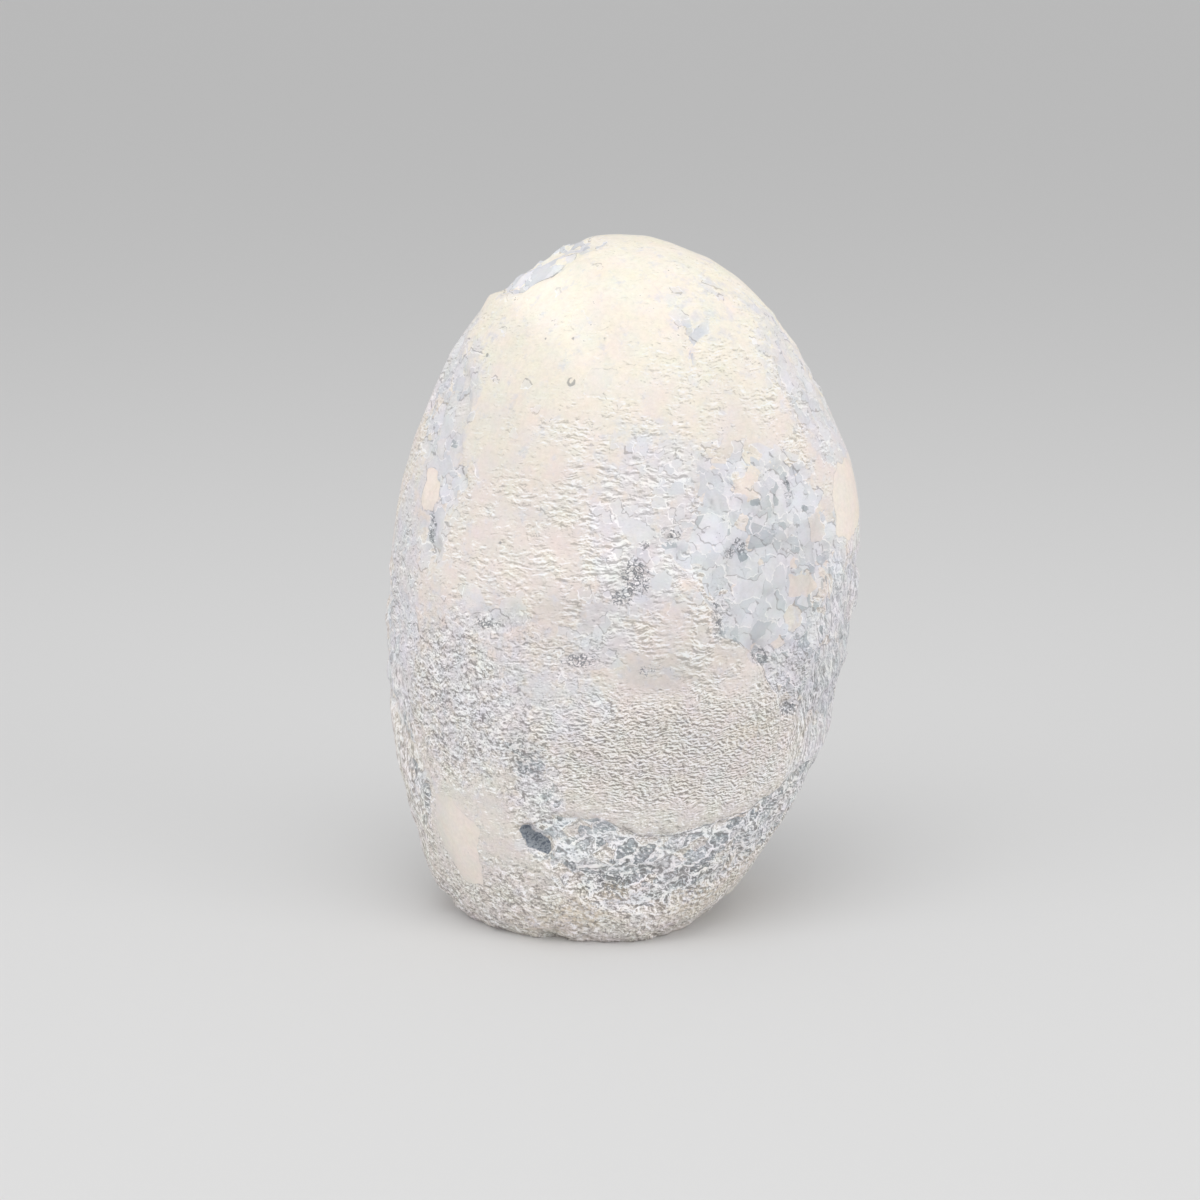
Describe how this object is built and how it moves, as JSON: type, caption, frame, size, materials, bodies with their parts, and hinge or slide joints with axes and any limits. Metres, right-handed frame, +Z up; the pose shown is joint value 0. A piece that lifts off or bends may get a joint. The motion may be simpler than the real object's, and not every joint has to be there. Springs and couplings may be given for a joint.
{
  "type": "celestite geode",
  "caption": "Egg-shaped celestite nodule with a pale chalky crust, sunken patches of blue-grey crystal faces and a small flat foot to stand on.",
  "frame": {"origin": "middle of the stone's footprint, on the plane of its flat foot", "axes": "+Z up through the pointed top; -Y is the front, the side with the large crystal patch at its right; +X to the right seen from the front"},
  "size_m": [0.139, 0.119, 0.1999],
  "materials": {
    "crust": "matt chalky cream crust with satin blue-grey crystal patches"
  },
  "bodies": {
    "root": {"geode": "crust"}
  },
  "joints": []
}
